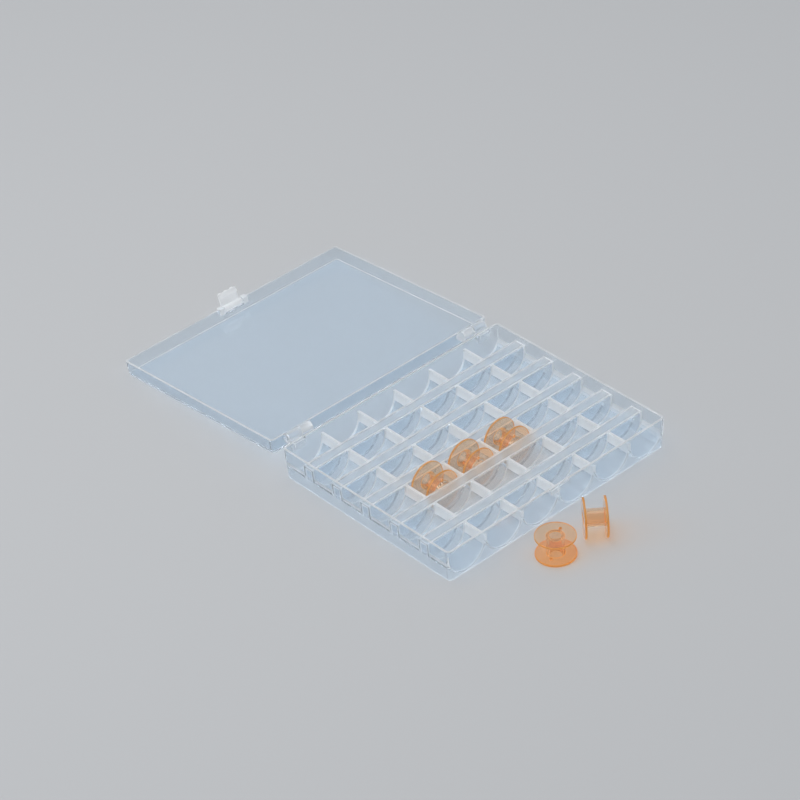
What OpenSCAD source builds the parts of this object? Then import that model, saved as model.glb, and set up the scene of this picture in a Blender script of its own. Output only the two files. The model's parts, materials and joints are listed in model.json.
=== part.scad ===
// Clear storage box with a scalloped pocket for each sewing-machine bobbin.
// X runs along the hinge, +Y points from the latch to the hinge and +Z is up.
// The origin is the middle of the tray's underside, on the table.

/* [Bobbin] */
// Diameter of a bobbin's flanges
bobbin_diameter = 20.4; // [19:0.1:21.5]
// Length of a bobbin from face to face
bobbin_length = 11.7; // [10:0.1:13]
// Thickness of a flange
flange_thickness = 1.1; // [0.8:0.1:1.6]
// Bevel on the edges of a flange
flange_bevel = 0.25; // [0.1:0.05:0.35]
// Outside diameter of the hub that the thread winds on
hub_diameter = 9; // [8:0.1:11]
// Diameter of the bore through the hub
bore_diameter = 6.2; // [5:0.1:6.8]
// Diameter of the thread hole in each flange
thread_hole_diameter = 1.6; // [1:0.1:2.2]
// Distance between the hub and the thread hole
thread_hole_offset = 0.2; // [0.1:0.05:0.6]

/* [Pockets] */
// Pockets along the hinge
columns = 6; // [5:1:8]
// Pockets from the latch to the hinge
rows = 6; // [5:1:8]
// Gap between a seated bobbin's rim and the side of its pocket
pocket_side_gap = 1.225; // [0.8:0.025:1.8]
// Gap between a bobbin's face and the end of its pocket
pocket_end_gap = 1.05; // [0.6:0.05:1.6]
// Gap between a seated bobbin and the bottom of its pocket
seat_gap = 0.3; // [0.1:0.05:0.6]
// Height of the straight sides above a pocket's round bottom
pocket_straight = 2; // [1:0.1:4]
// Thickness of the fins between the pockets of a row
fin_thickness = 1.5; // [1:0.1:2.2]
// Width of the hollow ribs between the rows
rib_width = 7; // [5:0.1:10]
// Thickness of the pockets' end walls and of the ribs' tops
rib_wall = 1.2; // [0.8:0.1:1.6]
// Thickness of the pockets' round bottoms
floor_wall = 1; // [0.8:0.1:1.6]
// Height of the pockets' undersides above the table
floor_lift = 0.3; // [0.2:0.1:1]

/* [Walls] */
// Thickness of the outer walls
wall = 1.25; // [1:0.05:1.8]
// Height of the tray's rim above the tops of the ribs
rim_height = 3.3; // [2.6:0.1:6]
// How far the tray's walls lean in from rim to base
tray_draft = 0.75; // [0.3:0.05:0.9]
// Radius of the outer corners at the rim
corner_radius = 2.4; // [2.3:0.1:5]

/* [Lid] */
// Depth of the lid from its rim to its outer face
lid_depth = 8.1; // [7:0.1:14]
// Thickness of the lid's panel
lid_panel = 1.2; // [0.8:0.1:2]
// How far the lid's walls lean in from rim to panel
lid_draft = 0.6; // [0.3:0.05:0.9]
// Gap between the closed rims
seam_gap = 0.3; // [0.2:0.05:0.5]
// Gap between the open lid's far edge and the table
table_gap = 0.1; // [0.05:0.05:0.3]

/* [Hinge] */
// Distance of the hinge axis behind the back wall
hinge_offset = 4; // [3.8:0.1:6]
// Outside radius of the hinge barrels and ears
knuckle_radius = 3; // [2.6:0.1:3.3]
// Radius of the moulded hinge pins
pin_radius = 1.3; // [1:0.05:1.6]
// Radial clearance between a hinge pin and its barrel
pin_clearance = 0.08; // [0.03:0.01:0.1]
// Height of the slot that snaps over the hinge pin
snap_slot = 2; // [1.6:0.1:2.2]
// Gap beside each barrel
knuckle_gap = 0.4; // [0.3:0.05:0.8]
// Length of a tray barrel
barrel_length = 9.2; // [7:0.1:12]
// Thickness of the wide ear on the lid
wide_ear = 8; // [4:0.1:10]
// Thickness of the thin ear on the lid
thin_ear = 1.4; // [1:0.1:2.4]
// Distance of the thin ear from the box's end
hinge_inset = 5.15; // [3:0.05:9]
// Depth of the gusset below a barrel
gusset_drop = 3.6; // [2:0.1:7]
// Thickness of the pad inside the wall at each barrel
pad_thickness = 1.2; // [0.6:0.1:1.6]
// Height of that pad
pad_height = 2.4; // [1.5:0.1:2.5]

/* [Latch] */
// Width of the latch's tongue
latch_width = 11.8; // [9:0.1:16]
// Length of the tongue below its axis
latch_length = 11; // [10.4:0.1:14]
// Thickness of the tongue
latch_thickness = 1.5; // [1:0.1:2.2]
// Radius of the latch's barrel
latch_radius = 1.75; // [1.6:0.05:2]
// Radius of the stubs that the latch turns on
stub_radius = 0.8; // [0.6:0.05:1]
// Length of a stub
stub_length = 2; // [1.4:0.1:2.4]
// Running gap round the latch's barrel
latch_gap = 0.3; // [0.2:0.05:0.4]
// Width of each lug beside the latch
lug_width = 3.3; // [3:0.1:5]
// Width of the catch on the tray's front wall
catch_width = 12.6; // [8:0.1:20]
// Height of the catch
catch_height = 5; // [3:0.1:5.4]
// Distance of the catch below the tray's rim
catch_drop = 0.8; // [0.5:0.1:1.2]
// How far the catch stands out of the wall
catch_depth = 0.8; // [0.5:0.05:1.2]
// Height of the hook below its ledge
hook_height = 1.6; // [1:0.1:2]
// Radius of the grip ribs on the tongue
grip_radius = 1.1; // [0.8:0.05:1.4]
// Number of grip ribs
grip_count = 3; // [2:1:4]
// Length of the grip ribs
grip_length = 4.5; // [3:0.1:6]
// Angle that the latch leans outwards when it is left open, in degrees
latch_lean = 15; // [5:1:40]

/* [Bobbins out of the tray] */
// Place of the lying bobbin along the box
flat_bobbin_x = -23.5; // [-60:0.5:60]
// Gap between the lying bobbin and the tray's rim
flat_bobbin_gap = 10.4; // [4:0.1:40]
// Place of the standing bobbin along the box
standing_bobbin_x = 0.3; // [0:0.1:60]
// Gap between the middle of the standing bobbin and the tray's rim
standing_bobbin_gap = 23.6; // [14:0.1:60]
// Direction of the standing bobbin's axis, in degrees from X
standing_bobbin_turn = -39; // [-90:1:0]

/* [Hidden] */
$fn = 96;

// How far a cut runs past the face that it opens
overrun = 1;
// Step that the lean of a wall is rounded to
lean_step = 0.001;
// The row of pockets, counted from the latch, that holds the bobbins
filled_row = floor((rows - 1) / 2);
// The pockets of that row with the middle, left and right bobbin, counted from the left
middle_column = floor((columns - 1) / 2);
left_column = middle_column - 1;
right_column = middle_column + 1;

tray_colour = [0.72, 0.79, 0.86, 0.55];
lid_colour = [0.62, 0.71, 0.8, 0.5];
latch_colour = [0.93, 0.94, 0.95, 1];
bobbin_colour = [0.95, 0.55, 0.16, 0.7];

bobbin_radius = bobbin_diameter / 2;
pocket_radius = bobbin_radius + pocket_side_gap;
pocket_length = bobbin_length + 2 * pocket_end_gap;
column_pitch = 2 * pocket_radius + fin_thickness;
row_pitch = pocket_length + rib_width;
pocket_z = floor_lift + floor_wall + pocket_radius;
deck_z = pocket_z + pocket_straight;
seat_z = floor_lift + floor_wall + seat_gap + bobbin_radius;

tray_height = deck_z + rim_height;
tray_length = columns * column_pitch - fin_thickness + 2 * wall;
tray_depth = rows * row_pitch - rib_width + 2 * wall;
inner_radius = corner_radius - wall;

hinge_y = tray_depth / 2 + hinge_offset;
hinge_z = tray_height;
thin_ear_x = tray_length / 2 - hinge_inset - thin_ear;
barrel_end_x = thin_ear_x - knuckle_gap;
barrel_x = barrel_end_x - barrel_length;
wide_ear_end_x = barrel_x - knuckle_gap;
wide_ear_x = wide_ear_end_x - wide_ear;

lid_rim_z = tray_height + seam_gap;
lid_top_z = lid_rim_z + lid_depth;
// The open lid turns past flat until the outer edge of its far side nearly meets the table
lid_reach = hinge_y + tray_depth / 2 - lid_draft;
lid_rise = lid_top_z - hinge_z;
lid_edge = sqrt(lid_reach * lid_reach + lid_rise * lid_rise);
lid_open = 180 + asin((hinge_z - table_gap) / lid_edge) - atan(lid_rise / lid_reach);

latch_y = -tray_depth / 2;
latch_z = lid_rim_z + latch_radius + seam_gap / 2;
latch_inner = -catch_depth - latch_gap;
latch_outer = latch_inner - latch_thickness;
hook_z = tray_height - catch_drop - catch_height - latch_gap - latch_z;
latch_half = latch_width / 2;
lug_inner_x = latch_half + latch_gap;
lug_height = 2 * latch_radius + seam_gap;

echo(tray = [tray_length, tray_depth, tray_height], pitch = [column_pitch, row_pitch]);
echo(hinge = [hinge_y, hinge_z], lid_open = lid_open);
echo(latch_axis_at_rest = opened(latch_y, latch_z));

// Where a point of the closed lid lies once the lid is open
function opened(y, z) = [
    hinge_y + (y - hinge_y) * cos(lid_open) + (z - hinge_z) * sin(lid_open),
    hinge_z - (y - hinge_y) * sin(lid_open) + (z - hinge_z) * cos(lid_open)
];

function row_y(row) = (row - (rows - 1) / 2) * row_pitch;

function column_x(column) = (column - (columns - 1) / 2) * column_pitch;

// A worked-out lean to the nearest step, so that flat sides and round corners meet exactly
function stepped(lean) = round(lean / lean_step) * lean_step;

// Outline between two walls that stand in by foot at the bottom and out by head at the top
function leaning(half, foot, head, bottom, top) = [
    [-half + foot, bottom],
    [half - foot, bottom],
    [half + head, top],
    [-half - head, top]
];

// Block with leaning sides and round corners, widest at its top
module drafted_block(length, depth, height, radius, draft, below = 0, above = 0) {
    side_x = length / 2 - radius;
    side_y = depth / 2 - radius;
    foot = stepped(draft * (height + below) / height);
    head = stepped(draft * above / height);
    rotate([90, 0, 0])
        linear_extrude(2 * side_y, center = true)
            polygon(leaning(length / 2, foot, head, -below, height + above));
    rotate([90, 0, 90])
        linear_extrude(2 * side_x, center = true)
            polygon(leaning(depth / 2, foot, head, -below, height + above));
    for (x = [-side_x, side_x])
        for (y = [-side_y, side_y])
            translate([x, y, -below])
                cylinder(h = below + height + above, r1 = radius - foot, r2 = radius + head);
}

// Outlines in the YZ plane, drawn out along X
module along_x(from, to) {
    translate([from, 0, 0])
        rotate([90, 0, 90])
            linear_extrude(to - from)
                children();
}

// A row of U-shaped outlines in the XZ plane, drawn out along Y
module scallops(radius, length, top) {
    rotate([90, 0, 0])
        linear_extrude(length, center = true)
            for (column = [0 : columns - 1])
                translate([column_x(column), pocket_z]) {
                    circle(radius);
                    translate([-radius, 0])
                        square([2 * radius, top - pocket_z]);
                }
}

module at_both_hinges() {
    for (side = [0, 1])
        mirror([side, 0, 0])
            children();
}

// Space inside the tray's walls
module tray_space() {
    drafted_block(
        tray_length - 2 * wall,
        tray_depth - 2 * wall,
        tray_height,
        inner_radius,
        tray_draft,
        overrun,
        overrun
    );
}

module tray_body() {
    drafted_block(tray_length, tray_depth, tray_height, corner_radius, tray_draft);
}

// Rows of round-bottomed pockets joined by flat hollow ribs
module pocket_rows() {
    for (row = [0 : rows - 1])
        translate([0, row_y(row), 0])
            scallops(pocket_radius + floor_wall, pocket_length + 2 * rib_wall, deck_z);
    for (row = [0 : rows - 2])
        translate([-tray_length / 2, row_y(row) + pocket_length / 2, deck_z - rib_wall])
            cube([tray_length, rib_width, rib_wall]);
}

// Solid corners of the skirt below the outermost pockets
module corner_posts() {
    post_x = tray_length / 2 - corner_radius;
    post_y = tray_depth / 2 - corner_radius;
    for (x = [-post_x - corner_radius, post_x])
        for (y = [-post_y - corner_radius, post_y])
            translate([x, y, 0])
                cube([corner_radius, corner_radius, pocket_z]);
}

module pockets() {
    for (row = [0 : rows - 1])
        translate([0, row_y(row), 0])
            scallops(pocket_radius, pocket_length, deck_z + overrun);
}

// Barrel behind the back wall, with the gusset that carries it
module hinge_barrel() {
    difference() {
        translate([0, hinge_y, hinge_z])
            along_x(barrel_x, barrel_end_x) {
                circle(knuckle_radius);
                polygon([
                    [0, 0],
                    [-hinge_offset - wall / 2, 0],
                    [-hinge_offset - wall / 2, -knuckle_radius - gusset_drop],
                    [0, -knuckle_radius]
                ]);
            }
        translate([barrel_x - overrun, hinge_y, hinge_z]) {
            rotate([0, 90, 0])
                cylinder(h = barrel_length + 2 * overrun, r = pin_radius + pin_clearance);
            translate([0, 0, -snap_slot / 2])
                cube([barrel_length + 2 * overrun, knuckle_radius + overrun, snap_slot]);
        }
    }
    translate([barrel_x, tray_depth / 2 - wall - pad_thickness, tray_height - pad_height])
        cube([barrel_length, pad_thickness + wall / 2, pad_height]);
}

// Raised pad under the front rim that the latch hooks below
module catch() {
    translate([
        -catch_width / 2,
        -tray_depth / 2 - catch_depth,
        tray_height - catch_drop - catch_height
    ])
        cube([catch_width, catch_depth + wall / 2, catch_height]);
}

module tray() {
    color(tray_colour) {
        difference() {
            tray_body();
            tray_space();
        }
        difference() {
            intersection() {
                union() {
                    pocket_rows();
                    corner_posts();
                }
                tray_body();
            }
            intersection() {
                pockets();
                tray_space();
            }
        }
        at_both_hinges() hinge_barrel();
        catch();
    }
}

// Turns what is drawn on the closed box to where it lies on the open one
module open_lid() {
    translate([0, hinge_y, hinge_z])
        rotate([-lid_open, 0, 0])
            translate([0, -hinge_y, -hinge_z])
                children();
}

module lid_shell() {
    translate([0, 0, lid_top_z])
        mirror([0, 0, 1])
            difference() {
                drafted_block(tray_length, tray_depth, lid_depth, corner_radius, lid_draft);
                translate([0, 0, lid_panel])
                    drafted_block(
                        tray_length - 2 * wall,
                        tray_depth - 2 * wall,
                        lid_depth - lid_panel,
                        inner_radius,
                        lid_draft * (lid_depth - lid_panel) / lid_depth,
                        0,
                        overrun
                    );
            }
}

// Wide and thin ears with the moulded pin between them
module hinge_ears() {
    translate([0, hinge_y, hinge_z]) {
        for (span = [[wide_ear_x, wide_ear_end_x], [thin_ear_x, thin_ear_x + thin_ear]])
            along_x(span[0], span[1]) {
                circle(knuckle_radius);
                polygon([
                    [0, seam_gap],
                    [0, knuckle_radius],
                    [-hinge_offset - wall / 2, knuckle_radius + seam_gap],
                    [-hinge_offset - wall / 2, seam_gap]
                ]);
            }
        translate([wide_ear_end_x - thin_ear / 2, 0, 0])
            rotate([0, 90, 0])
                cylinder(h = barrel_length + 2 * knuckle_gap + thin_ear, r = pin_radius);
    }
}

// Lugs at the ends of the notch in the lid's front wall
module latch_lugs() {
    for (side = [0, 1])
        mirror([side, 0, 0])
            translate([lug_inner_x, latch_y - latch_radius, lid_rim_z])
                cube([lug_width, 2 * latch_radius, lug_height]);
}

module lid() {
    color(lid_colour)
        open_lid() {
            difference() {
                union() {
                    lid_shell();
                    latch_lugs();
                }
                translate([-lug_inner_x, latch_y - wall, lid_rim_z - overrun])
                    cube([
                        2 * lug_inner_x,
                        wall + 2 * latch_radius,
                        overrun + lug_height + latch_gap / 2
                    ]);
                translate([-latch_half - stub_length - latch_gap, latch_y, latch_z])
                    rotate([0, 90, 0])
                        cylinder(
                            h = 2 * (latch_half + stub_length + latch_gap),
                            r = stub_radius + pin_clearance
                        );
            }
            at_both_hinges() hinge_ears();
        }
}

// Snap latch, drawn straight down from its axis and then turned out by its lean
module latch() {
    color(latch_colour)
        open_lid()
            translate([0, latch_y, latch_z])
                rotate([-latch_lean, 0, 0]) {
                    along_x(-latch_half, latch_half) {
                        circle(latch_radius);
                        translate([latch_outer, -latch_length])
                            square([latch_thickness, latch_length]);
                        polygon([
                            [latch_outer, 0],
                            [0, 0],
                            [0, latch_radius]
                        ]);
                        polygon([
                            [latch_outer, hook_z],
                            [latch_inner + catch_depth, hook_z],
                            [latch_outer + latch_thickness / 2, hook_z - hook_height]
                        ]);
                    }
                    translate([-latch_half - stub_length, 0, 0])
                        rotate([0, 90, 0])
                            cylinder(h = latch_width + 2 * stub_length, r = stub_radius);
                    grip_ribs();
                }
}

module grip_ribs() {
    pitch = latch_width / grip_count;
    for (rib = [0 : grip_count - 1])
        translate([(rib - (grip_count - 1) / 2) * pitch, latch_outer, -latch_length])
            cylinder(h = grip_length, r = grip_radius);
}

// One bobbin with its axis along Z and its middle at the origin
module bobbin() {
    half = bobbin_length / 2;
    hub = hub_diameter / 2;
    bore = bore_diameter / 2;
    rim = bobbin_radius;
    hole_at = hub + thread_hole_offset + thread_hole_diameter / 2;
    color(bobbin_colour)
        difference() {
            rotate_extrude()
                polygon([
                    [bore, -half],
                    [rim - flange_bevel, -half],
                    [rim, -half + flange_bevel],
                    [rim, -half + flange_thickness - flange_bevel],
                    [rim - flange_bevel, -half + flange_thickness],
                    [hub, -half + flange_thickness],
                    [hub, half - flange_thickness],
                    [rim - flange_bevel, half - flange_thickness],
                    [rim, half - flange_thickness + flange_bevel],
                    [rim, half - flange_bevel],
                    [rim - flange_bevel, half],
                    [bore, half]
                ]);
            for (end = [-1, 1])
                translate([0, end * hole_at, end * (half - flange_thickness / 2)])
                    cylinder(
                        h = flange_thickness + overrun,
                        d = thread_hole_diameter,
                        center = true
                    );
        }
}

module seated_bobbin(column) {
    translate([column_x(column), row_y(filled_row), seat_z])
        rotate([90, 0, 0])
            bobbin();
}

module bobbin_left() {
    seated_bobbin(left_column);
}

module bobbin_middle() {
    seated_bobbin(middle_column);
}

module bobbin_right() {
    seated_bobbin(right_column);
}

module bobbin_flat() {
    translate([flat_bobbin_x, -tray_depth / 2 - flat_bobbin_gap - bobbin_radius, bobbin_length / 2])
        bobbin();
}

module bobbin_standing() {
    translate([standing_bobbin_x, -tray_depth / 2 - standing_bobbin_gap, bobbin_radius])
        rotate([0, 0, standing_bobbin_turn])
            rotate([0, 90, 0])
                bobbin();
}

tray();
lid();
latch();
bobbin_left();
bobbin_middle();
bobbin_right();
bobbin_flat();
bobbin_standing();
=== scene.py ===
# %% [markdown]
# # A clear storage box for sewing-machine bobbins
# The box is two clear mouldings and a latch. It lies open on a table, with five amber bobbins in and
# beside it. The construction comes in as a fixed frame, which carries every joint. The looks are
# modelled around it here: each piece of the frame gets a finer one with rounded edges, in plastic
# that light goes through.

# %% Load the frame
import json
import math

import bmesh
import bpy
from mathutils import Matrix, Quaternion, Vector


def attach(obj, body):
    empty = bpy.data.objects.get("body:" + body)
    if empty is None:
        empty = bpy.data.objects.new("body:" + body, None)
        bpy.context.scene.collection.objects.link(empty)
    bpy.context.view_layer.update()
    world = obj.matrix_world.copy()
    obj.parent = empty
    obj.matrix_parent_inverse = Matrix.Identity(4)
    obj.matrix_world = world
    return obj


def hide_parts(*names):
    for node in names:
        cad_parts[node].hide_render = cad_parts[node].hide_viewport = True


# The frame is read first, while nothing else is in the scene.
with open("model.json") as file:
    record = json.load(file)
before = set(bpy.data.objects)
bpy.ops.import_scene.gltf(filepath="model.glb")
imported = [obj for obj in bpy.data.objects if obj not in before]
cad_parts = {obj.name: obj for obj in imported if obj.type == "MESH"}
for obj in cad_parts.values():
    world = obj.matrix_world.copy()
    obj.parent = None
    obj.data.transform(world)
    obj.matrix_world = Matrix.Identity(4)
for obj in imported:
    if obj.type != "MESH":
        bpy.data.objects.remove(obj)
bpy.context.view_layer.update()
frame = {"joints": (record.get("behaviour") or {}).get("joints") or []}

MM = 0.001
bpy.ops.object.select_all(action="DESELECT")

# %% [markdown]
# ## The camera
# A product photograph is taken from some way off with a long lens, which keeps the box's sides nearly
# parallel. The camera stands on the side of the latch, a little to the left, and looks down on the
# open box. It is turned a few degrees about its own line of sight, as a camera held by hand often is.
# A Track To constraint could aim it but not roll it, so its turn is worked out from three angles.

# %% Camera
camera_azimuth = math.radians(-39.84)
camera_elevation = math.radians(36.21)
camera_roll = math.radians(-4.22)
camera_distance = 1579.5 * MM
camera_target = Vector((4.62, 60.34, 4.97)) * MM
camera_lens = 139.74
far_clip = 50

camera_back = Vector((
    math.sin(camera_azimuth) * math.cos(camera_elevation),
    -math.cos(camera_azimuth) * math.cos(camera_elevation),
    math.sin(camera_elevation),
))
camera_turn = camera_back.to_track_quat("Z", "Y") @ Quaternion((0, 0, 1), camera_roll)
bpy.ops.object.camera_add(
    location=camera_target + camera_distance * camera_back,
    rotation=camera_turn.to_euler(),
)
camera = bpy.context.object
camera.name = "camera"
camera.data.lens = camera_lens
camera.data.clip_end = far_clip
bpy.context.scene.camera = camera
print("camera at", [round(c, 3) for c in camera.location])

# %% [markdown]
# ## Shader maths
# A material is a tree of nodes. Sums are easier to read as sums, so a small class wraps a socket and
# lets Python's own operators add the Math nodes. Any other node comes from one method of the material.

# %% A value
class Value:
    """A node's output that can be added to and multiplied."""

    def __init__(self, shader, socket):
        self.shader = shader
        self.socket = socket

    def maths(self, operation, other):
        node = self.shader.tree.nodes.new("ShaderNodeMath")
        node.operation = operation
        for place, term in enumerate((self, other)):
            self.shader.feed(node.inputs[place], term)
        return Value(self.shader, node.outputs[0])

    def __add__(self, other):
        return self.maths("ADD", other)

    def __mul__(self, other):
        return self.maths("MULTIPLY", other)

    __radd__ = __add__
    __rmul__ = __mul__


# %% A material
class Finish:
    """A material under construction."""

    def __init__(self, name):
        self.material = bpy.data.materials.new(name)
        self.material.use_nodes = True
        self.tree = self.material.node_tree
        self.tree.nodes.clear()

    def feed(self, socket, term):
        """Links a value to a socket, or sets the socket to a plain number or colour."""
        if isinstance(term, Value):
            self.tree.links.new(term.socket, socket)
        else:
            socket.default_value = term

    def node(self, kind, settings=None, sockets=None, out=0):
        """Adds a node of a kind, with its settings first and then its sockets, and returns one output."""
        node = self.tree.nodes.new("ShaderNode" + kind)
        for name, setting in (settings or {}).items():
            setattr(node, name, setting)
        for name, term in (sockets or {}).items():
            self.feed(node.inputs[name], term)
        return Value(self, node.outputs[out])

    def place(self, scale=(1, 1, 1)):
        """Object coordinates, stretched by scale."""
        coordinates = self.node("TexCoord", out="Object")
        return self.node("Mapping", sockets={"Vector": coordinates, "Scale": scale})

    def noise(self, size, detail=3, stretch=(1, 1, 1)):
        """Noise from 0 to 1 whose patches are about size metres across."""
        sockets = {"Vector": self.place(stretch), "Scale": 1 / size, "Detail": detail}
        return self.node("TexNoise", sockets=sockets)

    def vary(self, factor, colour, shade):
        """A colour that goes to a darker share of itself as the factor goes to 1."""
        darker = tuple(shade * c for c in colour[:3]) + (1,)
        sockets = {"Factor": factor, "A": colour, "B": darker}
        return self.node("Mix", {"data_type": "RGBA"}, sockets, out="Result")

    def blend(self, factor, first, second):
        """Mixes two surfaces."""
        node = self.tree.nodes.new("ShaderNodeMixShader")
        for place, term in enumerate((factor, first, second)):
            self.feed(node.inputs[place], term)
        return Value(self, node.outputs[0])

    def done(self, surface):
        """Sends a surface to the output and returns the material."""
        output = self.tree.nodes.new("ShaderNodeOutputMaterial")
        self.tree.links.new(surface.socket, output.inputs["Surface"])
        return self.material


# %% [markdown]
# ## Floor and light
# The box stands on a plain pale table in a soft studio. Clear plastic is mostly what is seen through it
# and in it, so big soft lamps matter more than strong ones: each lays a broad, even reflection on the
# edges. A point lamp would give small hard glints instead.

# %% Floor
floor_colour = (0.52, 0.53, 0.545, 1)
floor_half = 6.0
floor_drop = 0.15 * MM
grain_size = 0.4 * MM
grain_shade = 0.985
paper_roughness = 0.85

bpy.ops.mesh.primitive_plane_add(size=2 * floor_half, location=(0, 0, -floor_drop))
floor = bpy.context.object
floor.name = "floor"

paper = Finish("matt_paper")
paper_tint = paper.vary(paper.noise(grain_size), floor_colour, grain_shade)
sheet = paper.node(
    "BsdfPrincipled",
    sockets={"Base Color": paper_tint, "Roughness": paper_roughness},
)
floor.data.materials.append(paper.done(sheet))
print("floor:", 2 * floor_half, "m across")

# %% World and lamps
room_colour = (0.96, 0.98, 1.0, 1)
room_strength = 0.5
lamps = (
    ("overhead", (-0.1, 0.25, 1.3), (1.3, 0.9), 7.5),
    ("window", (-1.2, 0.9, 0.9), (1.0, 0.8), 6.5),
    ("front", (0.9, -1.2, 0.8), (0.8, 0.6), 2.7),
)
lamp_target = Vector((0, 60, 5)) * MM

world = bpy.data.worlds.new("studio")
bpy.context.scene.world = world
world.use_nodes = True
room = world.node_tree.nodes["Background"]
room.inputs["Color"].default_value = room_colour
room.inputs["Strength"].default_value = room_strength
for name, place, size, power in lamps:
    turn = (Vector(place) - lamp_target).to_track_quat("Z", "Y").to_euler()
    bpy.ops.object.light_add(type="AREA", location=place, rotation=turn)
    lamp = bpy.context.object
    lamp.name = "lamp_" + name
    lamp.data.shape = "RECTANGLE"
    lamp.data.size, lamp.data.size_y = size
    lamp.data.energy = power
print("lamps:", [name for name, *_ in lamps])

# %% [markdown]
# ## Sizes
# The pockets follow from the bobbins, and the box follows from the pockets. All lengths are in metres,
# written in millimetres times MM. The hinge's place comes from the frame, so that the lid turns about
# the same line as the joint does.

# %% Sizes of the box
bobbin_radius = 10.2 * MM
bobbin_length = 11.7 * MM
pocket_side_gap = 1.225 * MM
pocket_end_gap = 1.05 * MM
pocket_straight = 2 * MM
fin_thickness = 1.5 * MM
rib_width = 7 * MM
rib_wall = 1.2 * MM
floor_wall = 1 * MM
floor_lift = 0.3 * MM
rim_height = 3.3 * MM
wall = 1.25 * MM
tray_draft = 0.75 * MM
corner_radius = 2.4 * MM
columns = 6
rows = 6

pocket_radius = bobbin_radius + pocket_side_gap
pocket_length = bobbin_length + 2 * pocket_end_gap
column_pitch = 2 * pocket_radius + fin_thickness
row_pitch = pocket_length + rib_width
pocket_z = floor_lift + floor_wall + pocket_radius
deck_z = pocket_z + pocket_straight
tray_height = deck_z + rim_height
tray_length = columns * column_pitch - fin_thickness + 2 * wall
tray_depth = rows * row_pitch - rib_width + 2 * wall
half_length = tray_length / 2
half_depth = tray_depth / 2

joints = {joint["name"]: joint for joint in frame["joints"]}
hinge = Vector(joints["lid_hinge"]["pos_m"])
lid_open = -math.radians(joints["lid_hinge"]["range_deg"][0])
print("tray", [round(c / MM, 2) for c in (tray_length, tray_depth, tray_height)], "hinge", hinge)

# %% [markdown]
# ## Modelling by hand, in code
# A person selects faces or edges and then extrudes, insets or bevels them. The helpers below do the
# same: they add a box or a round bar, and select what lies at a given place. Writing every vertex down
# would work too, but a list of points doesn't show how a shape was made.

# %% Helpers that add a shape
# Three slots: plain walls; a whiter, hazier plastic that paints a highlight on edges, rims, fins and
# joints, and an orange glow on the bobbins; and a hazier plastic for solid knuckles that also paints the
# rib tops lighter.
WALL, EDGE, THICK_AND_PAINTED_LIGHT = range(3)
slot_materials = [bpy.data.materials.new(name) for name in ("wall_slot", "painted_highlight_slot", "thick_and_painted_light_slot")]
small_bar_sides = 24
pin_sides = 32
barrel_sides = 48


def select_only(piece):
    bpy.ops.object.select_all(action="DESELECT")
    piece.select_set(True)
    bpy.context.view_layer.objects.active = piece


def apply_place(piece):
    """Moves a new piece's place into its mesh and gives it slots for walls, for painted highlights, and
    for thick plastic that also paints light.
    """
    bpy.ops.object.transform_apply(location=True, rotation=True, scale=True)
    for material in slot_materials:
        piece.data.materials.append(material)
    return piece


def add_box(name, low, high):
    """A box between two corners."""
    bpy.ops.object.select_all(action="DESELECT")
    low, high = Vector(low), Vector(high)
    bpy.ops.mesh.primitive_cube_add(size=1, location=(low + high) / 2, scale=high - low)
    piece = bpy.context.object
    piece.name = name
    return apply_place(piece)


def add_bar(name, radius, centre, length, axis, sides=barrel_sides):
    """A round bar along X, Y or Z."""
    turns = {"X": (0, math.pi / 2, 0), "Y": (math.pi / 2, 0, 0), "Z": (0, 0, 0)}
    bpy.ops.object.select_all(action="DESELECT")
    bpy.ops.mesh.primitive_cylinder_add(
        vertices=sides, radius=radius, depth=length, location=centre, rotation=turns[axis]
    )
    piece = bpy.context.object
    piece.name = name
    return apply_place(piece)


def copy_of(piece, name):
    """A copy with its own mesh."""
    twin = piece.copy()
    twin.data = piece.data.copy()
    twin.name = name
    bpy.context.scene.collection.objects.link(twin)
    return twin


# %% Helpers that select faces and edges
least_bend = math.radians(15)
facing = 0.9
same_place = 0.01 * MM


def near(a, b, slack=same_place):
    return abs(a - b) < slack


def edit(piece):
    select_only(piece)
    bpy.ops.object.mode_set(mode="EDIT")


def leave_edit():
    bpy.ops.object.mode_set(mode="OBJECT")


def pick_faces(piece, test):
    """In edit mode, selects the faces whose middle and normal pass a test, and returns their count."""
    bpy.ops.mesh.select_mode(type="FACE")
    bpy.ops.mesh.select_all(action="DESELECT")
    mesh = bmesh.from_edit_mesh(piece.data)
    for face in mesh.faces:
        face.select_set(bool(test(face.calc_center_median(), face.normal)))
    bmesh.update_edit_mesh(piece.data)
    return sum(face.select for face in mesh.faces)


def pick_edges(piece, test):
    """In edit mode, selects the sharp edges whose two ends pass a test, and returns their count."""
    bpy.ops.mesh.select_mode(type="EDGE")
    bpy.ops.mesh.select_all(action="DESELECT")
    mesh = bmesh.from_edit_mesh(piece.data)
    for edge in mesh.edges:
        sharp = edge.calc_face_angle(0) > least_bend
        edge.select_set(bool(sharp and test(edge.verts[0].co, edge.verts[1].co)))
    bmesh.update_edit_mesh(piece.data)
    return sum(edge.select for edge in mesh.edges)


def paint(piece, slot, test):
    """Gives the faces whose middle and normal pass a test to one of the piece's slots."""
    edit(piece)
    count = pick_faces(piece, test)
    piece.active_material_index = slot
    bpy.ops.object.material_slot_assign()
    leave_edit()
    return count


def open_edges(piece):
    """How many edges of a piece don't join exactly two faces."""
    uses = {}
    for face in piece.data.polygons:
        for key in face.edge_keys:
            uses[key] = uses.get(key, 0) + 1
    return sum(count != 2 for count in uses.values())


# %% Helpers that cut, round and join
cut_reach = 0.001 * MM
merge_reach = 0.005 * MM
smooth_bend = math.radians(30)


def slice_off(piece, point, outwards):
    """Cuts a piece at a plane, closes the cut and drops what lies outside."""
    edit(piece)
    bpy.ops.mesh.select_all(action="SELECT")
    bpy.ops.mesh.bisect(
        plane_co=point, plane_no=outwards, clear_outer=True, use_fill=True, threshold=cut_reach
    )
    leave_edit()


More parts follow.
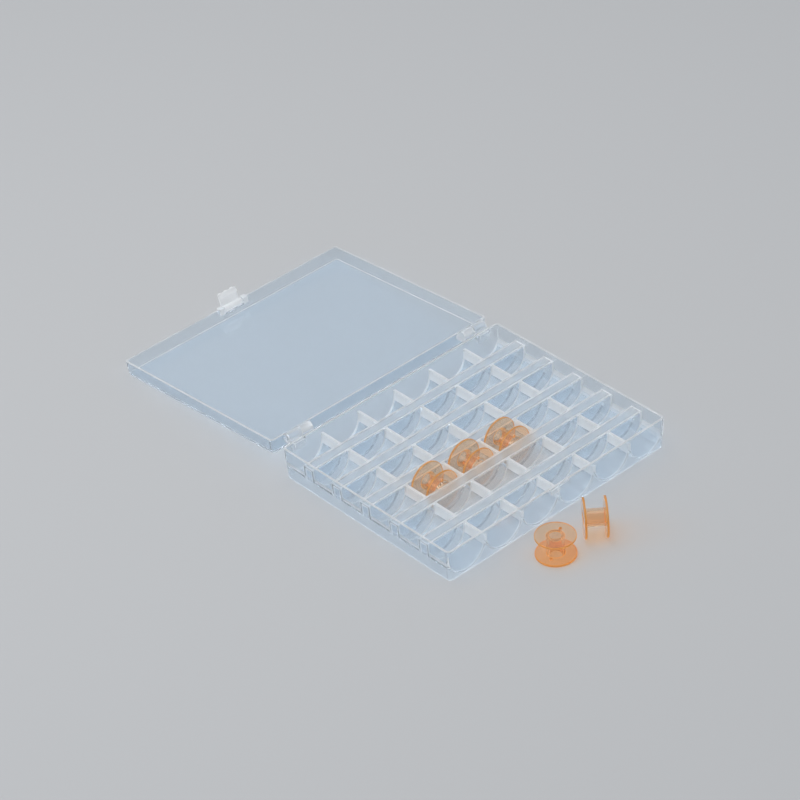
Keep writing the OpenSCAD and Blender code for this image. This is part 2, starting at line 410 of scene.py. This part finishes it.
def round_edges(piece, test, radius, segments=2):
    """Bevels the edges whose two ends pass a test, and gives the bevels the slot that paints a highlight.
    """
    edit(piece)
    count = pick_edges(piece, test)
    bpy.ops.mesh.bevel(
        offset=radius, segments=segments, affect="EDGES", clamp_overlap=True, material=EDGE
    )
    leave_edit()
    return count


def round_level(piece, level, radius, segments=2):
    """Bevels the edges that lie at one height."""
    return round_edges(piece, lambda a, b: near(a.z, level) and near(b.z, level), radius, segments)


def soften(piece, radius, segments=2):
    """Bevels every sharp edge of a piece."""
    round_edges(piece, lambda a, b: True, radius, segments)
    return piece


def combine(piece, other, operation):
    """Joins or cuts a piece with another one, which goes."""
    select_only(piece)
    modifier = piece.modifiers.new("combine", "BOOLEAN")
    modifier.operation = operation
    modifier.solver = "MANIFOLD"
    modifier.object = other
    bpy.ops.object.modifier_apply(modifier=modifier.name)
    bpy.data.objects.remove(other)
    return piece


def finish_shading(piece):
    """Smooth over round parts, sharp at edges, and flat faces that shade flat beside their bevels."""
    select_only(piece)
    bpy.ops.object.shade_smooth_by_angle(angle=smooth_bend, keep_sharp_edges=False)
    modifier = piece.modifiers.new("flat faces stay flat", "WEIGHTED_NORMAL")
    modifier.keep_sharp = True
    bpy.ops.object.modifier_apply(modifier=modifier.name)
    triangles = sum(len(face.vertices) - 2 for face in piece.data.polygons)
    print(piece.name, "has", triangles, "triangles and", open_edges(piece), "open edges")
    return piece


# %% [markdown]
# ## One pocket
# The tray's floor is a grid of pockets, all alike. Cutting 36 of them out of one block would work, but
# one small block is quicker to shape and to check, so one pocket is modelled well and repeated. The
# pocket is a trough with a round bottom across the hinge. Its underside is a second, larger trough, so
# that the floor is an even wall. Half a fin stands at each side and half a hollow rib at each end, and
# the copies meet in the middle of both.

# %% The block that holds a pocket
trough_sides = 64
rib_under = deck_z - rib_wall
half_rib_gap = rib_width / 2 - rib_wall


def add_trough(name, radius, length, top):
    """A solid U along Y: the lower half of a bar, with its flat side drawn up to a height."""
    trough = add_bar(name, radius, (0, 0, pocket_z), length, "Y", trough_sides)
    slice_off(trough, (0, 0, pocket_z), (0, 0, 1))
    edit(trough)
    pick_faces(trough, lambda middle, normal: normal.z > facing and near(middle.z, pocket_z))
    bpy.ops.mesh.extrude_region_move(TRANSFORM_OT_translate={"value": (0, 0, top - pocket_z)})
    leave_edit()
    return trough


cell = add_trough("cell", pocket_radius + floor_wall, pocket_length + 2 * rib_wall, deck_z)
for side in (-1, 1):
    slice_off(cell, (side * column_pitch / 2, 0, 0), (side, 0, 0))

edit(cell)
bpy.ops.mesh.select_all(action="SELECT")
bpy.ops.mesh.bisect(plane_co=(0, 0, rib_under), plane_no=(0, 0, 1))
for side in (-1, 1):
    pick_faces(cell, lambda middle, normal: side * normal.y > facing and middle.z > rib_under)
    bpy.ops.mesh.extrude_region_move(TRANSFORM_OT_translate={"value": (0, side * half_rib_gap, 0)})
leave_edit()
print("block of one pocket:", [round(c / MM, 3) for c in cell.dimensions])

# %% The pocket itself
foot_fillet = 0.5 * MM
mouth_round = 0.3 * MM
outline_margin = 0.1 * MM

cutter = add_trough("cutter", pocket_radius, pocket_length, deck_z + wall)
combine(cell, cutter, "DIFFERENCE")


def on_pocket_end(a, b):
    at_end = near(abs(a.y), pocket_length / 2) and near(a.y, b.y)
    inside = max(abs(a.x), abs(b.x)) < pocket_radius + same_place
    return at_end and inside and min(a.z, b.z) < deck_z - same_place


def on_pocket_mouth(a, b):
    level = near(a.z, deck_z) and near(b.z, deck_z)
    return level and max(abs(a.x), abs(b.x)) < column_pitch / 2 - outline_margin


print("edges round the pocket's ends:", round_edges(cell, on_pocket_end, foot_fillet, segments=3))
print("edges round its mouth:", round_edges(cell, on_pocket_mouth, mouth_round))

# %% [markdown]
# The fins and the tops of the ribs get painted light, so their faces go to slots of their own: the
# sides and tops of the fins and the strips over the end walls take a white painted highlight, and the
# rib tops a hazier plastic that paints them lighter. The cut left the block's top as two large faces.
# They are first divided where the pocket ends, because a slot is given to whole faces.

# %% Slots of the pocket's faces
fin_facing = 0.96
fin_reach = 0.9


def on_top(middle, normal):
    return normal.z > facing and near(middle.z, deck_z)


def on_fin_side(middle, normal):
    """The sides of a fin, down to where its two troughs part."""
    return abs(normal.x) > fin_facing and abs(middle.x) > pocket_radius * fin_reach


def over_wall(middle, normal):
    """The top of a fin, and the strip of a rib's top that an end wall stands under, which get a painted
    highlight.
    """
    return on_top(middle, normal) and abs(middle.y) < pocket_length / 2 + rib_wall


edit(cell)
for side in (-1, 1):
    pick_faces(cell, on_top)
    cut_point = (0, side * pocket_length / 2, 0)
    bpy.ops.mesh.bisect(plane_co=cut_point, plane_no=(0, side, 0), threshold=cut_reach)
leave_edit()
# Painted highlight on the fins and over the end walls, painted light on the rib tops.
print("sides of the fins:", paint(cell, EDGE, on_fin_side))
print("top of the ribs:", paint(cell, THICK_AND_PAINTED_LIGHT, on_top))
print("tops of the walls:", paint(cell, EDGE, over_wall))

# %% Six by six pockets
crate = cell
crate.name = "crate"
for name, count, step in (
    ("columns", columns, (column_pitch, 0, 0)),
    ("rows", rows, (0, row_pitch, 0)),
):
    array = crate.modifiers.new(name, "ARRAY")
    array.count = count
    array.use_relative_offset = False
    array.use_constant_offset = True
    array.constant_offset_displace = step
    bpy.ops.object.modifier_apply(modifier=name)
first_x = -(columns - 1) / 2 * column_pitch
first_y = -(rows - 1) / 2 * row_pitch
crate.data.transform(Matrix.Translation((first_x, first_y, 0)))
print("crate:", [round(c / MM, 2) for c in crate.dimensions])

# %% [markdown]
# The blocks still have a face on each side where they meet. These faces lie inside the plastic, where
# light would be bent at them, so they go and the edges left over are merged. Then the crate is cut to
# a size that ends within the thickness of the outer walls.

# %% One crate without inner faces
seam_share = 0.001
side_trim = 0.05 * MM
end_sunk = 0.4 * MM


def buried(middle, normal):
    """Whether a face lies inside the crate, where two blocks meet."""
    off_x = (middle.x - first_x) / column_pitch + 0.5
    off_y = (middle.y - first_y) / row_pitch + 0.5
    across = near(off_x, round(off_x), seam_share) and 0 < round(off_x) < columns
    along = near(off_y, round(off_y), seam_share) and 0 < round(off_y) < rows
    return (abs(normal.x) > facing and across) or (abs(normal.y) > facing and along)


edit(crate)
print("buried faces:", pick_faces(crate, buried))
bpy.ops.mesh.delete(type="FACE")
bpy.ops.mesh.select_all(action="SELECT")
bpy.ops.mesh.remove_doubles(threshold=merge_reach)
leave_edit()
cut_x = columns * column_pitch / 2 - side_trim
cut_y = half_depth - wall + end_sunk
for side in (-1, 1):
    slice_off(crate, (side * cut_x, 0, 0), (side, 0, 0))
    slice_off(crate, (0, side * cut_y, 0), (0, side, 0))
print("crate:", [round(c / MM, 2) for c in crate.dimensions], "open edges:", open_edges(crate))

# %% [markdown]
# Where the crate meets the walls the plastic is thick, and the pale line along that joint is a painted
# highlight. So a narrow strip of the crate along the walls is cut off the larger faces, parallel to the
# leaning walls, and goes to the slot that paints highlights.

# %% Strip along the walls
joint_width = 0.8 * MM
joint_x = half_length - wall - joint_width
joint_y = half_depth - wall - joint_width


def in_joint(middle, normal):
    lean = tray_draft * (1 - middle.z / tray_height)
    return abs(middle.x) > joint_x - lean or abs(middle.y) > joint_y - lean


edit(crate)
for side in (-1, 1):
    for point, outwards in (
        ((side * joint_x, 0, tray_height), (side * tray_height, 0, -tray_draft)),
        ((0, side * joint_y, tray_height), (0, side * tray_height, -tray_draft)),
    ):
        bpy.ops.mesh.select_all(action="SELECT")
        bpy.ops.mesh.bisect(plane_co=point, plane_no=outwards, threshold=cut_reach)
leave_edit()
print("strip along the walls:", paint(crate, EDGE, in_joint), "faces")

# %% [markdown]
# ## The tray's walls
# The walls are one ring. Each leans outwards a little towards the rim, as a moulding must to come out
# of its mould, and the corners are round. Four plates would leave joints at the corners, so one block
# is tapered, its corners are bevelled, and its top and bottom faces are inset and bridged through it.

# %% Walls
rim_round = 0.3 * MM
base_round = 0.25 * MM
corner_segments = 6

tray = add_box("tray_moulding", (-half_length, -half_depth, 0), (half_length, half_depth, tray_height))
edit(tray)
pick_faces(tray, lambda middle, normal: normal.z < -facing)
bpy.ops.transform.resize(value=(1 - tray_draft / half_length, 1 - tray_draft / half_depth, 1))
pick_edges(tray, lambda a, b: abs(a.z - b.z) > tray_height / 2)
bpy.ops.mesh.bevel(offset=corner_radius, segments=corner_segments, affect="EDGES")
pick_faces(tray, lambda middle, normal: abs(normal.z) > facing)
bpy.ops.mesh.inset(thickness=wall, use_even_offset=True, use_individual=True)
bpy.ops.mesh.bridge_edge_loops()
leave_edit()
round_level(tray, tray_height, rim_round)
round_level(tray, 0, base_round)
# The rim's top takes the slot that paints a highlight.
paint(tray, EDGE, lambda middle, normal: near(middle.z, tray_height))
print("walls:", [round(c / MM, 2) for c in tray.dimensions], "open edges:", open_edges(tray))

# %% [markdown]
# ## The tray's hinge barrels and catch
# Behind the back wall stand two barrels, each on a gusset. A slot in the back lets a barrel snap over
# its pin. A pad inside the wall stiffens it there. At the front a low raised block gives the latch
# something to hook under. A barrel is built from a bar and a box that overlap, and then bored and
# slotted with booleans, because its round form meets the flat wall at angles that are hard to extrude.

# %% A helper that moves a corner
def shift_corner(piece, corner, move):
    """Moves the vertices at a corner of a bar's outline, seen along X, and merges what then meets."""
    edit(piece)
    bpy.ops.mesh.select_mode(type="VERT")
    bpy.ops.mesh.select_all(action="DESELECT")
    mesh = bmesh.from_edit_mesh(piece.data)
    for point in mesh.verts:
        point.select_set(near(point.co.y, corner[0]) and near(point.co.z, corner[1]))
    bmesh.update_edit_mesh(piece.data)
    bpy.ops.transform.translate(value=(0, move[0], move[1]))
    bpy.ops.mesh.select_all(action="SELECT")
    bpy.ops.mesh.remove_doubles(threshold=merge_reach)
    bpy.ops.mesh.normals_make_consistent(inside=False)
    leave_edit()
    return piece


# %% Hinge barrels
knuckle_radius = 3 * MM
pin_radius = 1.3 * MM
pin_clearance = 0.08 * MM
snap_slot = 2 * MM
barrel_length = 7.8 * MM
knuckle_gap = 0.4 * MM
hinge_inset = 6.55 * MM
gusset_drop = 3.6 * MM
groove_depth = 1.6 * MM
small_round = 0.2 * MM
sunk = 0.1 * MM

barrel_middle = half_length - hinge_inset - barrel_length / 2
wall_middle_y = half_depth - wall / 2
bore_length = 2 * barrel_length


def add_barrel(side):
    centre_x = side * barrel_middle
    centre = (centre_x, hinge.y, hinge.z)
    low_x = centre_x - barrel_length / 2
    high_x = centre_x + barrel_length / 2
    barrel = add_bar("barrel", knuckle_radius, centre, barrel_length, "X")
    soften(barrel, small_round)
    foot_z = hinge.z - knuckle_radius + small_round
    gusset = add_box(
        "gusset",
        (low_x + sunk, wall_middle_y, foot_z),
        (high_x - sunk, hinge.y, hinge.z - groove_depth),
    )
    shift_corner(gusset, (wall_middle_y, foot_z), (0, -gusset_drop))
    combine(barrel, gusset, "UNION")
    paint(barrel, THICK_AND_PAINTED_LIGHT, lambda middle, normal: True)
    bore = add_bar("bore", pin_radius + pin_clearance, centre, bore_length, "X", pin_sides)
    combine(barrel, bore, "DIFFERENCE")
    slot = add_box(
        "slot",
        (centre_x - barrel_length, hinge.y, hinge.z - snap_slot / 2),
        (centre_x + barrel_length, hinge.y + 2 * knuckle_radius, hinge.z + snap_slot / 2),
    )
    return combine(barrel, slot, "DIFFERENCE")


# %% Pads behind the barrels
pad_thickness = 1.2 * MM
pad_height = 2.4 * MM


def add_pad(side):
    centre_x = side * barrel_middle
    inner_y = half_depth - wall - pad_thickness
    pad = add_box(
        "pad",
        (centre_x - barrel_length / 2, inner_y, tray_height - pad_height),
        (centre_x + barrel_length / 2, wall_middle_y, tray_height - sunk),
    )
    return soften(pad, small_round)


# %% Catch
catch_width = 12.6 * MM
catch_height = 2.8 * MM
catch_drop = 0.5 * MM
catch_depth = 0.8 * MM
catch = add_box(
    "catch",
    (-catch_width / 2, -half_depth - catch_depth, tray_height - catch_drop - catch_height),
    (catch_width / 2, -half_depth + wall / 2, tray_height - catch_drop),
)
soften(catch, small_round)
print("catch:", [round(c / MM, 2) for c in catch.dimensions])

# %% The whole tray in one
combine(tray, crate, "UNION")
for side in (-1, 1):
    combine(tray, add_barrel(side), "UNION")
    combine(tray, add_pad(side), "UNION")
combine(tray, catch, "UNION")
finish_shading(tray)

# %% [markdown]
# ## The lid
# The lid is a shallow box the other way up. It is modelled closed over the tray, where its sizes are
# easy to follow, and is then turned open about the hinge. It could be modelled lying open, but then
# every height would be a tilted length. Its panel's outer edges are rounder than its rim, as on most
# lids.

# %% Lid shell
lid_depth = 8.1 * MM
lid_panel = 1.2 * MM
lid_draft = 0.6 * MM
seam_gap = 0.3 * MM
panel_round = 0.6 * MM
cavity_round = 0.3 * MM
lid_rim_z = tray_height + seam_gap
lid_top_z = lid_rim_z + lid_depth
cavity_top = lid_top_z - lid_panel
cavity_draft = lid_draft * (cavity_top - lid_rim_z) / lid_depth


def add_drafted(name, inset, high, draft):
    """A block on the lid's rim plane that narrows towards its top, with round corners."""
    half_x = half_length - inset
    half_y = half_depth - inset
    block = add_box(name, (-half_x, -half_y, lid_rim_z), (half_x, half_y, high))
    edit(block)
    pick_faces(block, lambda middle, normal: normal.z > facing)
    bpy.ops.transform.resize(value=(1 - draft / half_x, 1 - draft / half_y, 1))
    pick_edges(block, lambda a, b: abs(a.z - b.z) > (high - lid_rim_z) / 2)
    bpy.ops.mesh.bevel(offset=corner_radius - inset, segments=corner_segments, affect="EDGES")
    leave_edit()
    return block


lid = add_drafted("lid_moulding", 0, lid_top_z, lid_draft)
round_level(lid, lid_top_z, panel_round, segments=3)
cavity = add_drafted("cavity", wall, cavity_top, cavity_draft)
edit(cavity)
pick_faces(cavity, lambda middle, normal: normal.z < -facing)
bpy.ops.mesh.extrude_region_move(TRANSFORM_OT_translate={"value": (0, 0, -wall)})
leave_edit()
round_level(cavity, cavity_top, cavity_round)
combine(lid, cavity, "DIFFERENCE")
round_level(lid, lid_rim_z, rim_round)
# The rim of the lid takes the slot that paints a highlight.
paint(lid, EDGE, lambda middle, normal: near(middle.z, lid_rim_z))
print("lid shell:", [round(c / MM, 2) for c in lid.dimensions], "open edges:", open_edges(lid))

# %% Lugs and notch for the latch
latch_width = 11.8 * MM
latch_radius = 1.75 * MM
latch_gap = 0.3 * MM
stub_radius = 0.8 * MM
stub_length = 2 * MM
lug_width = 3.3 * MM
lug_round = 0.4 * MM
latch_axis = Vector((0, -half_depth, lid_rim_z + latch_radius + seam_gap / 2))
lug_inner_x = latch_width / 2 + latch_gap
lug_height = 2 * latch_radius + seam_gap

for side in (-1, 1):
    lug_x = side * (lug_inner_x + lug_width / 2)
    lug = add_box(
        "lug",
        (lug_x - lug_width / 2, latch_axis.y - latch_radius, lid_rim_z),
        (lug_x + lug_width / 2, latch_axis.y + latch_radius, lid_rim_z + lug_height),
    )
    soften(lug, lug_round, segments=3)
    # The lugs take it all over, as a painted highlight.
    paint(lug, EDGE, lambda middle, normal: True)
    combine(lid, lug, "UNION")
notch = add_box(
    "notch",
    (-lug_inner_x, -half_depth - wall, lid_rim_z - wall),
    (lug_inner_x, -half_depth + 2 * latch_radius, lid_rim_z + lug_height + latch_gap / 2),
)
combine(lid, notch, "DIFFERENCE")
hole_radius = stub_radius + pin_clearance
hole_length = latch_width + 2 * (stub_length + latch_gap)
pin_hole = add_bar("pin_hole", hole_radius, latch_axis, hole_length, "X", small_bar_sides)
combine(lid, pin_hole, "DIFFERENCE")
print("lid with lugs: open edges", open_edges(lid))

# %% Ear and pin of each hinge
ear_width = 7 * MM
ear_end = barrel_middle - barrel_length / 2 - knuckle_gap
pin_length = barrel_length + knuckle_gap


def add_ear(low_x, high_x):
    centre = ((low_x + high_x) / 2, hinge.y, hinge.z)
    ear = add_bar("ear", knuckle_radius, centre, high_x - low_x, "X")
    soften(ear, small_round)
    web_low = hinge.z + seam_gap + sunk
    web_high = hinge.z + knuckle_radius - small_round
    web = add_box("web", (low_x + sunk, wall_middle_y, web_low), (high_x - sunk, hinge.y, web_high))
    shift_corner(web, (wall_middle_y, web_high), (0, seam_gap))
    combine(ear, web, "UNION")
    paint(ear, THICK_AND_PAINTED_LIGHT, lambda middle, normal: True)
    return ear


for side in (-1, 1):
    low_x, high_x = sorted((side * ear_end, side * (ear_end - ear_width)))
    combine(lid, add_ear(low_x, high_x), "UNION")
    pin_middle = (side * (ear_end - knuckle_gap + pin_length / 2), hinge.y, hinge.z)
    pin = add_bar("pin", pin_radius, pin_middle, pin_length, "X", pin_sides)
    combine(lid, soften(pin, small_round), "UNION")

to_hinge = Matrix.Translation(hinge)
opening = to_hinge @ Matrix.Rotation(-lid_open, 4, "X") @ Matrix.Translation(-hinge)
lid.data.transform(opening)
finish_shading(lid)

# %% [markdown]
# ## The latch
# The latch is a little lever with a round barrel, which turns on two stubs in the lid's lugs. Its hook
# snaps under the catch, and three upright ribs give a fingernail grip. Its outline could be extruded
# in one go, but the ribs and stubs stand across it, so it too is joined from bars and boxes. It is
# modelled pointing straight down from its own axis, and then leant and carried open with the lid.

# %% Latch
latch_length = 8.2 * MM
latch_thickness = 1.5 * MM
hook_height = 1.6 * MM
grip_radius = 1.1 * MM
grip_length = 3.8 * MM
grip_count = 3
latch_round = 0.4 * MM
latch_lean = -math.radians(joints["latch_pivot"]["range_deg"][0])
latch_half = latch_width / 2
latch_inner = -catch_depth - latch_gap
latch_outer = latch_inner - latch_thickness
hook_z = tray_height - catch_drop - catch_height - latch_gap - latch_axis.z
hook_reach = latch_inner + catch_depth

latch = add_bar("latch_lever", latch_radius, (0, 0, 0), latch_width, "X")
soften(latch, small_round)
wedge = add_box(
    "wedge",
    (-latch_half + sunk, latch_outer, 0),
    (latch_half - sunk, 0, latch_radius - small_round),
)
shift_corner(wedge, (latch_outer, latch_radius - small_round), (0, small_round - latch_radius))
combine(latch, wedge, "UNION")
tongue = add_box("tongue", (-latch_half, latch_outer, -latch_length), (latch_half, latch_inner, 2 * sunk))
combine(latch, soften(tongue, latch_round, segments=3), "UNION")
hook = add_box(
    "hook",
    (-latch_half + sunk, latch_outer + sunk, hook_z - hook_height),
    (latch_half - sunk, hook_reach, hook_z),
)
shift_corner(hook, (hook_reach, hook_z - hook_height), (latch_inner - hook_reach - sunk, 0))
combine(latch, hook, "UNION")
print("lever and hook: open edges", open_edges(latch))

# %% Grip ribs and stubs of the latch
for number in range(grip_count):
    grip_x = (number - (grip_count - 1) / 2) * latch_width / grip_count
    grip_middle = (grip_x, latch_outer, grip_length / 2 - latch_length)
    grip = add_bar("grip", grip_radius, grip_middle, grip_length, "Z", small_bar_sides)
    combine(latch, soften(grip, latch_round, segments=3), "UNION")
across_stubs = latch_width + 2 * stub_length
stubs = add_bar("stubs", stub_radius, (0, 0, 0), across_stubs, "X", small_bar_sides)
combine(latch, soften(stubs, small_round), "UNION")
lean = Matrix.Rotation(-latch_lean, 4, "X")
latch.data.transform(opening @ Matrix.Translation(latch_axis) @ lean)
finish_shading(latch)

# %% [markdown]
# ## The bobbins
# A bobbin is turned about one axis: two flanges, a hub between them and a bore through it. Spin could
# turn its profile, but three round bars give the same form, and their rims are easy to bevel. Each
# flange has one small hole to start the thread through. One bobbin is made with its axis upright, and
# five copies are laid in place.

# %% One bobbin
flange_thickness = 1.1 * MM
flange_bevel = 0.25 * MM
hub_radius = 4.5 * MM
hub_fillet = 0.4 * MM
hub_sides = 64
flange_sides = 128
flange_z = (bobbin_length - flange_thickness) / 2

bobbin = add_bar("bobbin", hub_radius, (0, 0, 0), 2 * flange_z, "Z", hub_sides)
for side in (-1, 1):
    flange_middle = (0, 0, side * flange_z)
    flange = add_bar("flange", bobbin_radius, flange_middle, flange_thickness, "Z", flange_sides)
    combine(bobbin, soften(flange, flange_bevel, segments=3), "UNION")


def on_hub_foot(a, b):
    level = near(abs(a.z), flange_z - flange_thickness / 2) and near(a.z, b.z)
    return level and near(a.xy.length, hub_radius) and near(b.xy.length, hub_radius)


# The fillets at the hub's feet take the slot that paints an orange glow.
print("edges at the hub's feet:", round_edges(bobbin, on_hub_foot, hub_fillet, segments=3))

# %% Bore and thread holes
bore_radius = 3.1 * MM
thread_hole_radius = 0.8 * MM
thread_hole_offset = 0.2 * MM
hole_y = hub_radius + thread_hole_offset + thread_hole_radius
hole_depth = 2 * flange_thickness

bore = add_bar("bore", bore_radius, (0, 0, 0), 2 * bobbin_length, "Z", hub_sides)
combine(bobbin, bore, "DIFFERENCE")


def on_bore_mouth(a, b):
    level = near(abs(a.z), bobbin_length / 2) and near(a.z, b.z)
    return level and a.xy.length < bore_radius + sunk and b.xy.length < bore_radius + sunk


# The bore's mouth is rounded, and its bevels take the same painted glow.
round_edges(bobbin, on_bore_mouth, small_round)
for side in (-1, 1):
    hole_middle = (0, side * hole_y, side * flange_z)
    hole = add_bar("thread_hole", thread_hole_radius, hole_middle, hole_depth, "Z", small_bar_sides)
    combine(bobbin, hole, "DIFFERENCE")
print("bobbin: open edges", open_edges(bobbin))

# %% Painted glow on the edges of the bobbin
rim_band = 0.4 * MM


def on_bobbin_edge(middle, normal):
    """The rims of the flanges and the walls of the thread holes, which get a painted orange glow."""
    upright = abs(normal.z) < facing
    rim = middle.xy.length > bobbin_radius - rim_band
    hole_off = (Vector((0, hole_y)) - Vector((middle.x, abs(middle.y)))).length
    return upright and (rim or hole_off < thread_hole_radius + sunk)


print("faces on its edges:", paint(bobbin, EDGE, on_bobbin_edge))

# %% Five bobbins in place
seat_gap = 0.3 * MM
seat_z = floor_lift + floor_wall + seat_gap + bobbin_radius
filled_row = 2
first_filled_column = 1
filled_row_y = (filled_row - (rows - 1) / 2) * row_pitch
flat_place = Vector((-23.5 * MM, -80.75 * MM, bobbin_length / 2))
flat_turn = Matrix.Rotation(math.radians(-70), 4, "Z")
standing_place = Vector((0.3 * MM, -83.75 * MM, bobbin_radius))
standing_turn = Matrix.Rotation(math.radians(-39), 4, "Z")
axis_along_x = Matrix.Rotation(math.pi / 2, 4, "Y")
axis_along_y = Matrix.Rotation(math.pi / 2, 4, "X")

bobbin_places = {
    "flat": Matrix.Translation(flat_place) @ flat_turn,
    "standing": Matrix.Translation(standing_place) @ standing_turn @ axis_along_x,
}
for column, name in enumerate(("left", "middle", "right"), start=first_filled_column):
    seat_x = (column - (columns - 1) / 2) * column_pitch
    bobbin_places[name] = Matrix.Translation((seat_x, filled_row_y, seat_z)) @ axis_along_y
bobbins = {}
for name, place in bobbin_places.items():
    twin = copy_of(bobbin, "bobbin_" + name + "_moulding")
    twin.data.transform(place)
    bobbins[name] = finish_shading(twin)
bpy.data.objects.remove(bobbin)

# %% [markdown]
# ## Clear plastic
# This box is moulded in polypropylene, which is never quite clear. Most light is bent and goes through,
# and a little is caught in a bluish haze. A volume with scattering could show the haze, but it renders
# slowly and noisily in thin walls, so the surface holds it: half of the caught light comes back, and
# half of it comes out on the far side. Light that is trapped in a wall then makes it glow where it
# ends. Rounded edges, rims, fins and joints get a whiter, hazier plastic that paints a highlight on
# them, and the bobbins' rims a deeper amber one that paints an orange glow. Solid thick places hold
# more haze, and the same hazier plastic paints the rib tops lighter.

# %% Plastic
plastic_ior = 1.49
cloud_size = 6 * MM
cloud_detail = 4
cloud_shade = 0.98
flow_size = 1.2 * MM
flow_stretch = (1, 0.12, 1)
scratch_size = 0.6 * MM
fine_scratch_size = 0.4 * MM
scratch_detail = 6
scratch_stretch = (1, 0.05, 0.4)
scratch_depth = 0.6
scratch_roughness = 0.1
bump_strength = 0.03
bump_height = 0.1 * MM


def make_plastic(name, clear, colour, roughness, scratched=scratch_size):
    """Moulded plastic: clear is how much light goes straight through, and the rest is scattered."""
    plastic = Finish(name)
    cloud = plastic.noise(cloud_size, cloud_detail)
    flow = plastic.noise(flow_size, stretch=flow_stretch)
    scratches = plastic.noise(scratched, scratch_detail, scratch_stretch)
    relief = {
        "Height": flow + scratches * scratch_depth,
        "Strength": bump_strength,
        "Distance": bump_height,
    }
    bump = plastic.node("Bump", sockets=relief)
    tint = plastic.vary(cloud, colour, cloud_shade)
    let_through = (1 - clear) / 2
    face = {
        "Base Color": tint,
        "Roughness": roughness + scratches * scratch_roughness,
        "Normal": bump,
        "IOR": plastic_ior,
        "Transmission Weight": clear / (1 - let_through),
    }
    surface = plastic.node("BsdfPrincipled", sockets=face)
    glow = plastic.node("BsdfTranslucent", sockets={"Color": tint})
    body = plastic.blend(let_through, surface, glow)
    # Lamp light crosses a wall at two faces, and each takes the square root of the wall's colour.
    lamp_ray = plastic.node("LightPath", out="Is Shadow Ray")
    one_face = tuple(math.sqrt(c) for c in colour)
    through = plastic.node("BsdfTransparent", sockets={"Color": one_face})
    return plastic.done(plastic.blend(lamp_ray, body, through))


# %% The plastics of the box
milky = (0.86, 0.915, 0.965, 1)
smoky = (0.82, 0.885, 0.945, 1)
haze_and_highlight_white = (0.97, 0.985, 1.0, 1)
latch_white = (0.93, 0.94, 0.95, 1)
tray_slots = {
    WALL: make_plastic("tray_plastic", clear=0.89, colour=milky, roughness=0.04),
    # The edge plastic paints a highlight: it is whiter and hazier, so edges and rims show as bright
    # lines.
    EDGE: make_plastic("tray_painted_highlight", clear=0.25, colour=haze_and_highlight_white, roughness=0.15),
    # The thick plastic holds more haze in the solid barrels and ears, and paints the rib tops lighter.
    THICK_AND_PAINTED_LIGHT: make_plastic("tray_thick_and_painted_light", clear=0.73, colour=haze_and_highlight_white, roughness=0.1),
}
lid_slots = {
    WALL: make_plastic(
        "lid_plastic", clear=0.9, colour=smoky, roughness=0.06, scratched=fine_scratch_size
    ),
    # The lid's edge plastic paints a highlight on its rim, lugs and rounded edges.
    EDGE: make_plastic("lid_edge", clear=0.25, colour=haze_and_highlight_white, roughness=0.15),
    THICK_AND_PAINTED_LIGHT: tray_slots[THICK_AND_PAINTED_LIGHT],
}
latch_plastic = make_plastic(
    "latch_plastic", clear=0.12, colour=latch_white, roughness=0.25, scratched=fine_scratch_size
)
latch_slots = {WALL: latch_plastic, EDGE: latch_plastic, THICK_AND_PAINTED_LIGHT: latch_plastic}

# %% The plastics of the bobbins
amber = (1.0, 0.76, 0.55, 1)
painted_glow_amber = (1.0, 0.52, 0.16, 1)
bobbin_plastic = make_plastic("bobbin_plastic", clear=0.93, colour=amber, roughness=0.02)
bobbin_slots = {
    WALL: bobbin_plastic,
    # The edge plastic of the bobbins paints an orange glow on their rims, hub fillets, bore mouths and
    # thread holes.
    EDGE: make_plastic("bobbin_painted_glow", clear=0.3, colour=painted_glow_amber, roughness=0.06),
    THICK_AND_PAINTED_LIGHT: bobbin_plastic,
}


def dress(piece, slots):
    """Swaps a piece's three plain slots for its own plastics."""
    for number, material in slots.items():
        piece.data.materials[number] = material
    print(piece.name, "wears", [material.name for material in piece.data.materials])


dress(tray, tray_slots)
dress(lid, lid_slots)
dress(latch, latch_slots)
for piece in bobbins.values():
    dress(piece, bobbin_slots)

# %% [markdown]
# Light meets many faces on its way through the box. A ray that is stopped too early shows as a dark
# spot, so the renderer gets more bounces than it has by default.

# %% Bounces of light
most_bounces = 32
diffuse_bounces = 8
cycles = bpy.context.scene.cycles
cycles.max_bounces = most_bounces
cycles.glossy_bounces = most_bounces
cycles.diffuse_bounces = diffuse_bounces
cycles.transmission_bounces = most_bounces
cycles.transparent_max_bounces = most_bounces
print("bounces:", cycles.max_bounces)

# %% [markdown]
# ## What each piece belongs to
# Every piece rides on one body of the frame and stands for that body's node, which is hidden. A
# piece could be parented by hand, but then its node would still show and the frame wouldn't know it.

# %% Bodies
pieces = {"tray": tray, "lid": lid, "latch": latch}
pieces.update({"bobbin_" + name: piece for name, piece in bobbins.items()})
for body, piece in pieces.items():
    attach(piece, body)
    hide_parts(body)
print("pieces:", sorted(pieces))

# %% View transform and end
bpy.context.scene.view_settings.view_transform = "Standard"
